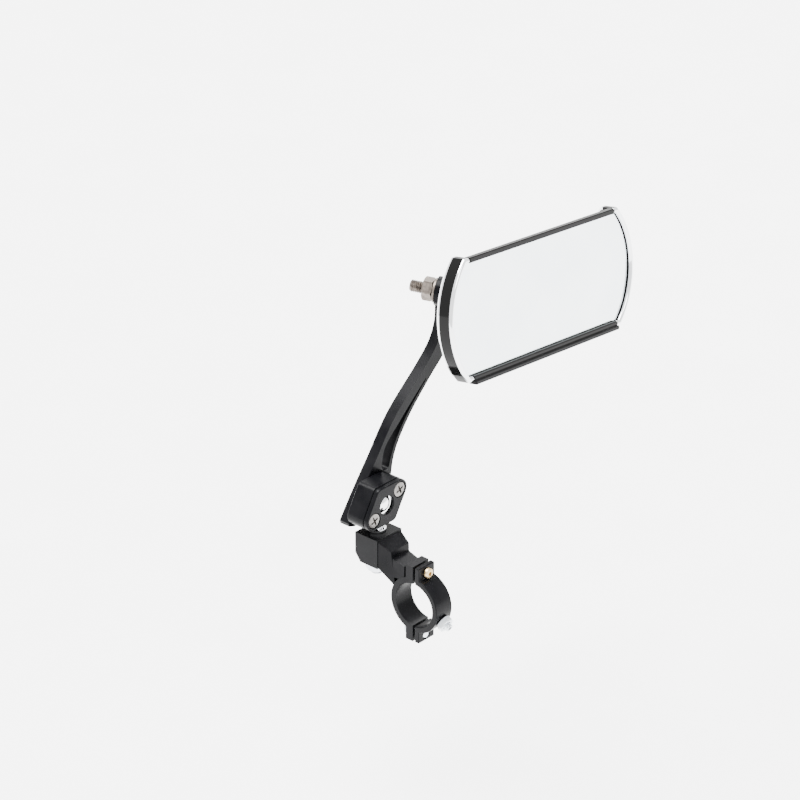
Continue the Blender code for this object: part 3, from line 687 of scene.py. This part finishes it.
def plate_screw(name, centre, tip, place, material):
    """A countersunk screw with a cross recess."""
    bm = bmesh.new()
    profile = [(0, -6.55), (1.5, -6.52), (2.8, -6.42), (3.5, -6.25), (3.6, -6.05), (1.95, -4.4)]
    profile += [(1.95, tip), (0, tip)]
    add_lathe(bm, profile, FINE, centre=centre, plane="XZ")
    piece = new_object(f"{name}_fine", bm, place)
    for turned in (radians(24), radians(114)):
        bar = bmesh.new()
        long_way = Vector((cos(turned), sin(turned))) * 2.3
        wide_way = Vector((-sin(turned), cos(turned))) * 0.5
        middle = Vector(centre)
        outline = [middle + long_way + wide_way, middle - long_way + wide_way]
        outline += [middle - long_way - wide_way, middle + long_way - wide_way]
        add_prism(bar, outline, -8, -5.5, "XZ")
        combine(piece, bar, 'DIFFERENCE')
    settle(piece, "arm", material, name, slot="zinc")


def arm_outline(steps=8):
    inboard = [(-12.5, -9.5), (-7.0, -1.5), (0.0, 8.0), (6.6, 16.5), (20.3, 34.5), (39.3, 51.1)]
    inboard += [(47.2, 58.6), (51.2, 64.2), (53.6, 71.0), (54.0, 78.0)]
    outboard = [(62.3, 78.0), (62.0, 70.0), (59.5, 61.5), (53.0, 53.5), (43.5, 45.0), (31.5, 33.0)]
    outboard += [(22.8, 21.5), (18.8, 13.0), (16.8, 4.0), (12.9, -6.4)]
    foot = [(4.0, -12.5), (-8.5, -12.5), (-12.0, -11.3)]
    return smooth_line(inboard, steps) + smooth_line(outboard, steps) + foot


def arm_window(steps=8):
    upper = [(10.6, 11.5), (13.2, 21.0), (23.5, 30.8), (33.0, 39.2), (42.0, 46.8)]
    lower = [(41.4, 45.4), (30.0, 34.2), (21.2, 22.7), (16.9, 13.7), (15.2, 9.4), (11.8, 8.8)]
    return smooth_line(upper, steps) + smooth_line(lower, steps)


def arm(place, stud_place, material):
    bm = bmesh.new()
    add_prism(bm, arm_outline(), ARM_FRONT, ARM_BACK, "XZ")
    piece = new_object("arm_fine", bm, place)
    window = bmesh.new()
    add_prism(window, arm_window(), ARM_FRONT - 2, ARM_BACK + 2, "XZ")
    combine(piece, window, 'DIFFERENCE')
    away = Vector(MIRROR_BALL_CENTRE) - Vector(BALL_CENTRE)
    stud_here = Matrix.Translation(away) @ stud_place.to_3x3().to_4x4()
    lug = bmesh.new()
    add_cylinder(lug, LUG_RADIUS, LUG_START, LUG_START + LUG_THICKNESS, 64)
    bmesh.ops.transform(lug, matrix=stud_here, verts=lug.verts)
    combine(piece, lug, 'UNION')
    round_edges(piece, 0.7)
    bore = bmesh.new()
    add_cylinder(bore, SHANK_HOLE, LUG_START - 4, LUG_START + LUG_THICKNESS + 4, FINE)
    bmesh.ops.transform(bore, matrix=stud_here, verts=bore.verts)
    combine(piece, bore, 'DIFFERENCE')
    hole = bmesh.new()
    centre = screw_centres()["upper"]
    add_cylinder(hole, 2.3, ARM_FRONT - 3, ARM_BACK + 3, FINE, centre=centre, plane="XZ")
    combine(piece, hole, 'DIFFERENCE')
    settle(piece, "arm", material, "arm", slot="black_anodised")


# ---------------------------------------------------------------- mirror stud

def mirror_ball_stud(place, material):
    """Heights run along the stud from the ball's centre."""
    neck = 2.5
    flange = LUG_START - GAP
    profile = [(0, -MIRROR_BALL)]
    for height, radius in arc((0, 0), MIRROR_BALL, radians(176), radians(20.9), 36):
        profile.append((radius, height))
    profile += [(neck, flange - 1.0), (4.8, flange - 1.0), (5.0, flange - 0.8), (5.0, flange)]
    profile += shank_profile(SHANK, flange, 30.8)
    profile += [(SHANK - 0.7, 31.5), (0, 31.5)]
    bm = bmesh.new()
    add_lathe(bm, profile, FINE)
    cut_thread(bm, 19.5, 31.3, SHANK)
    piece = new_object("mirror_ball_stud_fine", bm, place)
    settle(piece, "mirror_stud", material, "mirror_ball_stud", slot="steel")


def upper_washer(place, material):
    start = LUG_START + LUG_THICKNESS + GAP
    bm = bmesh.new()
    profile = [(SHANK_HOLE, start), (5.8, start), (5.9, start + 0.15), (5.9, start + 0.85)]
    profile += [(5.8, start + 1.0), (SHANK_HOLE, start + 1.0)]
    add_lathe(bm, profile, FINE, closed=True)
    piece = new_object("stud_washer_upper_fine", bm, place)
    settle(piece, "arm", material, "stud_washer_upper", slot="steel")


# ---------------------------------------------------------------- mirror head

def end_point(inset, share):
    """A point on the rounded end; share runs from -1 at the bottom corner to 1 at the top one."""
    radius = (HEAD_HALF_HEIGHT ** 2 + HEAD_END_BULGE ** 2) / (2 * HEAD_END_BULGE)
    middle = HEAD_HALF_STRAIGHT + HEAD_END_BULGE - radius
    half_height = HEAD_HALF_HEIGHT - inset
    reach = sqrt((radius - inset) ** 2 - half_height ** 2)
    angle = atan2(half_height, reach) * share
    return middle + (radius - inset) * cos(angle), (radius - inset) * sin(angle)


def head_outline(inset, steps=40):
    """The whole outline of the head, moved inwards by the inset."""
    end = [end_point(inset, 2 * step / steps - 1) for step in range(steps + 1)]
    return end + [(-x, -y) for x, y in end]


def mirror_ball_seat(place, material):
    """A spherical liner around the glass side of the ball."""
    reach = radians(46)
    profile = [(0, SEAT_INNER)]
    for height, radius in arc((0, 0), SEAT_INNER, reach / 12, reach, 11):
        profile.append((radius, height))
    for height, radius in arc((0, 0), SEAT_OUTER, reach, reach / 12, 11):
        profile.append((radius, height))
    profile.append((0, SEAT_OUTER))
    bm = bmesh.new()
    add_lathe(bm, profile, FINE)
    piece = new_object("mirror_ball_seat_fine", bm, place)
    settle(piece, "seat", material, "mirror_ball_seat", slot="seat_plastic")


def socket_screw_centres():
    return arc((0, 0), SOCKET_SCREW_REACH, pi / 2, pi / 2 + 4 * pi / 3, 2)


def socket_cup(place, material):
    """Heights are from the ball's centre towards the glass."""
    top = SOCKET_OFFSET[2] + HEAD_BACK - GAP
    profile = [(0, top), (CUP_RADIUS - 1, top), (CUP_RADIUS, top - 1), (CUP_RADIUS, 0), (CUP_BORE, 0)]
    for height, radius in arc((0, 0), CUP_BORE, pi / 2, radians(4), 20)[1:]:
        profile.append((radius, height))
    profile.append((0, CUP_BORE))
    bm = bmesh.new()
    add_lathe(bm, profile, 64)
    piece = new_object("socket_cup_fine", bm, place)
    round_edges(piece, 0.35)
    holes = bmesh.new()
    for centre in socket_screw_centres():
        add_cylinder(holes, 1.2, -2, 6.5, 24, centre=centre)
    combine(piece, holes, 'DIFFERENCE')
    settle(piece, "head", material, "socket_cup", slot="black_gloss")


def socket_cap(place, material):
    """The ring that holds the ball in, with a cone for the stud to lean in."""
    low = -CAP_THICKNESS - GAP
    profile = []
    for height, radius in arc((0, 0), SEAT_INNER, radians(92.4), pi - CAP_OPENING, 10):
        profile.append((radius, height))
    profile += [(-low * tan(CAP_OPENING), low), (CUP_RADIUS - 0.8, low), (CUP_RADIUS, low + 0.8)]
    profile += [(CUP_RADIUS, -GAP)]
    bm = bmesh.new()
    add_lathe(bm, profile, 64, closed=True)
    piece = new_object("socket_cap_fine", bm, place)
    round_edges(piece, 0.25)
    holes = bmesh.new()
    for centre in socket_screw_centres():
        profile = [(0, low - 2), (1.9, low - 2), (1.9, low + 1.6), (1.3, low + 1.6), (1.3, 2), (0, 2)]
        add_lathe(holes, profile, 32, centre=centre)
    combine(piece, holes, 'DIFFERENCE')
    settle(piece, "head", material, "socket_cap", slot="black_gloss")


def socket_screws(place, material):
    """Small pan heads with a cross recess."""
    low = -CAP_THICKNESS - GAP
    for letter, centre in zip("abc", socket_screw_centres()):
        bm = bmesh.new()
        profile = [(0, low + 0.1), (1.0, low + 0.12), (1.45, low + 0.25), (1.6, low + 0.5)]
        profile += [(1.6, low + 1.3), (0.9, low + 1.3), (0.9, 6.0), (0, 6.0)]
        add_lathe(bm, profile, 32, centre=centre)
        piece = new_object(f"socket_screw_{letter}_fine", bm, place)
        for long_x, long_y in ((1.0, 0.22), (0.22, 1.0)):
            bar = bmesh.new()
            outline = [(centre[0] + long_x, centre[1] + long_y), (centre[0] - long_x, centre[1] + long_y)]
            outline += [(centre[0] - long_x, centre[1] - long_y), (centre[0] + long_x, centre[1] - long_y)]
            add_prism(bar, outline, low - 1, low + 0.9)
            combine(piece, bar, 'DIFFERENCE')
        settle(piece, "head", material, f"socket_screw_{letter}", slot="zinc")


def head_shell(place, material):
    """A tray with a flange all round its mouth, which carries the lens."""
    inner = TRAY_INSET + TRAY_WALL
    floor = HEAD_BACK + 1.6
    rim = -LENS_THICKNESS - GAP
    section = [(TRAY_INSET + 2.0, HEAD_BACK), (TRAY_INSET, HEAD_BACK + 1.8), (TRAY_INSET, rim - 1.2)]
    section += [(LENS_INSET, rim - 1.2), (LENS_INSET, rim), (inner, rim), (inner, floor)]
    rings = []
    bm = bmesh.new()
    for inset, height in section:
        rings.append([bm.verts.new((x, y, height)) for x, y in head_outline(inset)])
    for lower, upper in zip(rings, rings[1:]):
        for index in range(len(lower)):
            bm.faces.new((lower[index - 1], lower[index], upper[index], upper[index - 1]))
    bm.faces.new(rings[0])
    bm.faces.new(rings[-1])
    piece = new_object("head_shell_fine", bm, place)
    round_edges(piece, 0.5, 3, 40)
    settle(piece, "head", material, "head_shell", slot="shell_metal")


def flat_piece(name, node, place, inset, low, high, material, slot, rounding):
    """The lens or its backing."""
    bm = bmesh.new()
    add_prism(bm, head_outline(inset), low, high)
    piece = new_object(name, bm, place)
    round_edges(piece, rounding)
    settle(piece, "head", material, node, slot=slot)


def head_rail(name, side, place, material):
    """An L section over the edge of the lens; the lower rail has a bead that stands proud."""
    top, low = HEAD_HALF_HEIGHT, -1.2
    lip = top - LIP_WIDTH
    outline = [(top, low), (top, HEAD_LIP)]
    if side < 0:
        outline = [(top + 1.4, low), (top + 1.4, 3.2), (top - 0.6, 3.2), (top - 0.6, HEAD_LIP)]
    outline += [(lip, HEAD_LIP), (lip, 0.3), (top - WALL, 0.3), (top - WALL, low)]
    outline = [(side * y, z) for y, z in outline]
    bm = bmesh.new()
    add_prism(bm, outline, -RAIL_HALF_LENGTH + GAP, RAIL_HALF_LENGTH - GAP, "YZ")
    piece = new_object(f"{name}_fine", bm, place)
    round_edges(piece, 0.45)
    settle(piece, "head", material, name, slot="black_gloss")


def end_cap(name, side, place, material):
    """A curved channel: an L section that follows the rounded end of the head."""
    section = [(0.0, HEAD_BACK + 2.2), (0.0, 0.5)]
    for across, height in arc((LIP_WIDTH / 2, 0.5), 1.0, pi * 0.9, pi * 0.1, 8):
        section.append((across + 0.3 * (across - LIP_WIDTH / 2), 0.5 + 1.5 * (height - 0.5)))
    section += [(LIP_WIDTH, 0.3), (WALL, 0.3), (WALL, HEAD_BACK + 2.0), (WALL + 1.8, HEAD_BACK + 0.2)]
    section += [(WALL + 1.8, HEAD_BACK), (2.2, HEAD_BACK)]
    bm = bmesh.new()
    stations = []
    shares = [2 * step / 40 - 1 for step in range(41)]
    for inset, height in section:
        line = [(RAIL_HALF_LENGTH, -(HEAD_HALF_HEIGHT - inset))]
        line += [end_point(inset, share) for share in shares]
        line += [(RAIL_HALF_LENGTH, HEAD_HALF_HEIGHT - inset)]
        stations.append([bm.verts.new((side * x, y, height)) for x, y in line])
    for first, second in zip(stations, stations[1:] + stations[:1]):
        for index in range(len(first) - 1):
            bm.faces.new((first[index], first[index + 1], second[index + 1], second[index]))
    bm.faces.new([line[0] for line in stations])
    bm.faces.new([line[-1] for line in stations])
    piece = new_object(f"{name}_fine", bm, place)
    round_edges(piece, 0.45)
    settle(piece, "head", material, name, slot="chrome")


# ---------------------------------------------------------------- studio

def add_floor(height):
    half = FLOOR_HALF
    corners = [(-half, -half, 0), (half, -half, 0), (half, half, 0), (-half, half, 0)]
    mesh = bpy.data.meshes.new("floor")
    mesh.from_pydata(corners, [], [(0, 1, 2, 3)])
    floor = bpy.data.objects.new("floor", mesh)
    floor.location = (0, 0, height)
    bpy.context.scene.collection.objects.link(floor)
    paint = Paint("floor_white")
    paint.set("Base Color", paint.blend(paint.spread(paint.noise(60, 3), 0, 1), (0.88, 0.88, 0.88),
                                        (0.91, 0.91, 0.91)))
    paint.set("Roughness", 0.8)
    mesh.materials.append(paint.material)


def sky():
    world = bpy.data.worlds.new("studio")
    world.use_nodes = True
    background = world.node_tree.nodes["Background"]
    background.inputs["Color"].default_value = (1, 1, 1, 1)
    background.inputs["Strength"].default_value = SKY_STRENGTH
    bpy.context.scene.world = world


def lights():
    light = bpy.data.lights.new("ceiling", 'SUN')
    light.angle = radians(50)
    light.energy = CEILING_STRENGTH
    lamp = bpy.data.objects.new("ceiling", light)
    lamp.rotation_euler = (radians(-14), radians(-10), 0)
    bpy.context.scene.collection.objects.link(lamp)

    middle = (Vector(CAD_BOX[0]) + Vector(CAD_BOX[1])) / 2
    for name, away, size, power in AREA_LIGHTS:
        light = bpy.data.lights.new(name, 'AREA')
        light.shape = 'SQUARE'
        light.size = size
        light.energy = power
        lamp = bpy.data.objects.new(name, light)
        lamp.location = middle + Vector(away)
        lamp.rotation_euler = Vector(away).to_track_quat('Z', 'Y').to_euler()
        bpy.context.scene.collection.objects.link(lamp)


def studio():
    height = CAD_BOX[0][2] - FLOOR_DROP
    add_floor(height)
    sky()
    lights()


def camera():
    """Behind the rider's left shoulder, looking down, and far enough away for a mild perspective."""
    turn, rise = radians(CAMERA_AZIMUTH), radians(CAMERA_RISE)
    away = Vector((sin(turn) * cos(rise), -cos(turn) * cos(rise), sin(rise)))
    eye = bpy.data.cameras.new("camera")
    eye.lens = 36 * CAMERA_DISTANCE / FIELD
    eye.sensor_width = 36
    holder = bpy.data.objects.new("camera", eye)
    middle = (Vector(CAD_BOX[0]) + Vector(CAD_BOX[1])) / 2
    middle -= Vector((cos(turn), sin(turn), 0)) * AIM_SHIFT
    holder.location = middle + away * CAMERA_DISTANCE
    holder.rotation_euler = away.to_track_quat('Z', 'Y').to_euler()
    bpy.context.scene.collection.objects.link(holder)
    bpy.context.scene.camera = holder


# ---------------------------------------------------------------- assembly

def build():
    black = black_anodised()
    gloss = black_gloss()
    brass = bright_metal("brass_fine", (0.42, 0.30, 0.15), (0.62, 0.48, 0.27), 0.25, 0.42, 3)
    zinc = bright_metal("zinc_fine", (0.50, 0.53, 0.57), (0.72, 0.74, 0.77), 0.18, 0.36, 2.5)
    dull = bright_metal("dull_zinc_fine", (0.09, 0.085, 0.08), (0.20, 0.19, 0.18), 0.24, 0.42, 1.5)
    steel = bright_metal("steel_fine", (0.07, 0.06, 0.052), (0.18, 0.155, 0.135), 0.28, 0.48, 2.5)
    chrome = bright_metal("chrome_fine", (0.74, 0.75, 0.77), (0.84, 0.85, 0.86), 0.04, 0.09, 14)
    shell = bright_metal("shell_metal_fine", (0.55, 0.56, 0.58), (0.68, 0.69, 0.71), 0.28, 0.4, 12,
                         (1, 12, 12), 0.008)
    # plated cap metal with a painted dark reflection across the caps' side wall
    cap = cap_metal()
    lens = lens_metal()
    plastic = soft_plastic("seat_plastic_fine", (0.62, 0.61, 0.57), (0.72, 0.71, 0.68), 0.45)
    foam = soft_plastic("backing_foam_fine", (0.03, 0.03, 0.03), (0.07, 0.07, 0.07), 0.85)

    forward = Vector((-sin(STUD_INBOARD) * cos(STUD_RISE), cos(STUD_INBOARD) * cos(STUD_RISE),
                      sin(STUD_RISE)))
    facing = Vector((sin(HEAD_YAW) * cos(HEAD_PITCH), -cos(HEAD_YAW) * cos(HEAD_PITCH), sin(HEAD_PITCH)))
    level = Vector((cos(HEAD_YAW), sin(HEAD_YAW), 0))
    long_axis = Matrix.Rotation(-HEAD_ROLL, 3, -facing) @ level
    clamp = Matrix.Identity(4)
    lower = frame_matrix(BALL_CENTRE, (1, 0, 0), (0, 0, 1))
    stud = frame_matrix(MIRROR_BALL_CENTRE, forward.cross(Vector((0, 0, 1))), forward)
    socket = frame_matrix(MIRROR_BALL_CENTRE, long_axis, facing)
    head = socket @ Matrix.Translation(Vector(SOCKET_OFFSET) * MM)

    base_block(clamp, black)
    clamp_strap(clamp, black)
    clamp_screw_top(clamp, brass)
    clamp_bolt_lower(clamp, zinc)
    set_screw(clamp, zinc)
    hex_nut("set_nut_fine", clamp @ OUT_OF_RING, "strap", "set_nut", zinc, "zinc", 7.0, 2.3,
            RING_RADIUS + GAP, RING_RADIUS + GAP + 3.0)
    top = POST_BOTTOM - GAP
    hex_nut("stud_nut_lower_fine", clamp, "base", "stud_nut_lower", zinc, "zinc", 10.0, SHANK_HOLE,
            top - 5.0, top, "XY", BALL_CENTRE[:2])

    lower_ball_stud(lower, chrome)
    ball_housing(lower, black)
    cover_plate(lower, black)
    plate_screw("plate_screw_upper", screw_centres()["upper"], ARM_BACK - 1.6, lower, dull)
    plate_screw("plate_screw_lower", screw_centres()["lower"], HOUSING_BACK - 0.5, lower, dull)
    arm(lower, stud, black)

    mirror_ball_stud(stud, steel)
    upper_washer(stud, steel)
    start = LUG_START + LUG_THICKNESS + 1.0 + 2 * GAP
    hex_nut("stud_nut_upper_fine", stud, "arm", "stud_nut_upper", steel, "steel", 10.0, SHANK_HOLE,
            start, start + 5.0)

    mirror_ball_seat(socket, plastic)
    socket_cup(socket, gloss)
    socket_cap(socket, gloss)
    socket_screws(socket, zinc)
    head_shell(head, shell)
    flat_piece("lens_backing_fine", "lens_backing", head, TRAY_INSET + TRAY_WALL + GAP, HEAD_BACK + 1.9,
               -LENS_THICKNESS - GAP, foam, "backing_foam", 0.4)
    flat_piece("lens_fine", "lens", head, LENS_INSET, -LENS_THICKNESS, 0.0, lens, "lens_metal", 0.25)
    head_rail("rail_top", 1, head, gloss)
    head_rail("rail_bottom", -1, head, gloss)
    end_cap("end_cap_inboard", -1, head, cap)
    end_cap("end_cap_outboard", 1, head, cap)
    studio()
    camera()


build()
